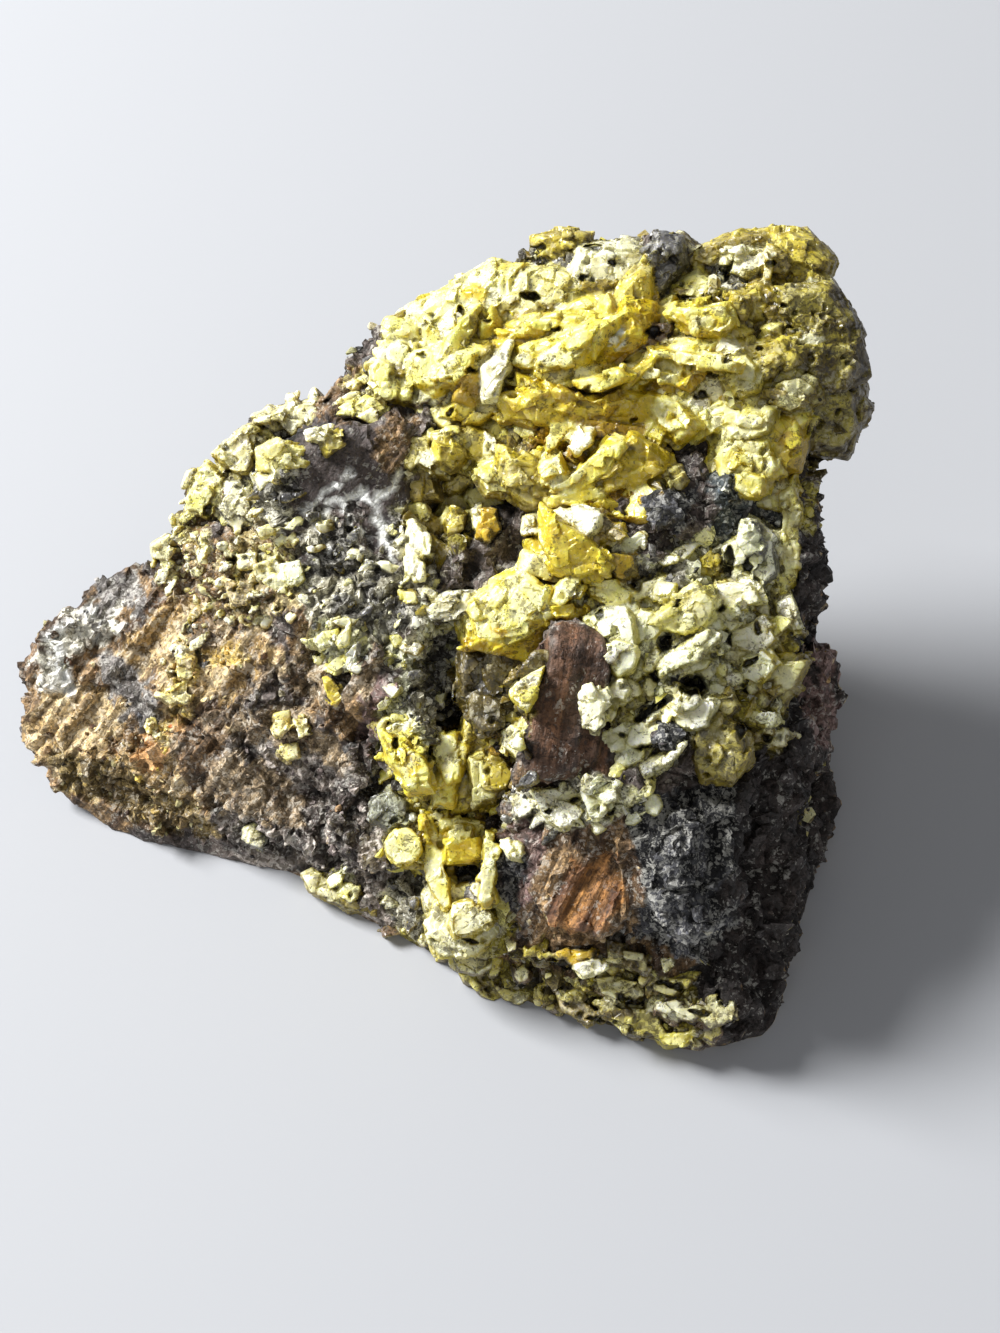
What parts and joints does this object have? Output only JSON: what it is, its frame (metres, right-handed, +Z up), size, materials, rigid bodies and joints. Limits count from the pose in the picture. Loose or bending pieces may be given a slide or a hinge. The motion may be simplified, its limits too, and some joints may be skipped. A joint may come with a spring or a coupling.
{
  "type": "pyromorphite specimen",
  "caption": "Chunk of dark host rock with a tail-like lobe at one side, crusted with chunky yellow to cream crystals; it lies on a flat break.",
  "frame": {"origin": "under the middle of the specimen's outline, on the plane it rests on", "axes": "+X along the longest side, away from the tail lobe; +Y from the low front to the high crest at the back; +Z up"},
  "size_m": [0.0844, 0.0688, 0.049],
  "materials": {
    "host_rock": "matte",
    "crown_crystals": "satin",
    "crest_crystals": "satin",
    "golden_blade_crystals": "satin",
    "ledge_crystals": "satin",
    "heart_crystals": "satin",
    "cavity_crystals": "satin",
    "wedge_crystals": "satin",
    "olive_vein_crystals": "satin",
    "block_crystal": "satin",
    "bead_crystal": "satin",
    "shard_crystals": "satin",
    "right_crust_crystals": "satin",
    "shoulder_crystals": "satin",
    "flank_crystals": "satin",
    "bench_crystals": "satin",
    "toe_crystals": "satin",
    "tail_tuft_crystals": "satin",
    "tail_knob_crystals": "satin"
  },
  "bodies": {
    "root": {"host_rock": "host_rock", "crown_crystals": "crown_crystals", "crest_crystals": "crest_crystals", "golden_blade_crystals": "golden_blade_crystals", "ledge_crystals": "ledge_crystals", "heart_crystals": "heart_crystals", "cavity_crystals": "cavity_crystals", "wedge_crystals": "wedge_crystals", "olive_vein_crystals": "olive_vein_crystals", "block_crystal": "block_crystal", "bead_crystal": "bead_crystal", "shard_crystals": "shard_crystals", "right_crust_crystals": "right_crust_crystals", "shoulder_crystals": "shoulder_crystals", "flank_crystals": "flank_crystals", "bench_crystals": "bench_crystals", "toe_crystals": "toe_crystals", "tail_tuft_crystals": "tail_tuft_crystals", "tail_knob_crystals": "tail_knob_crystals"}
  },
  "joints": []
}
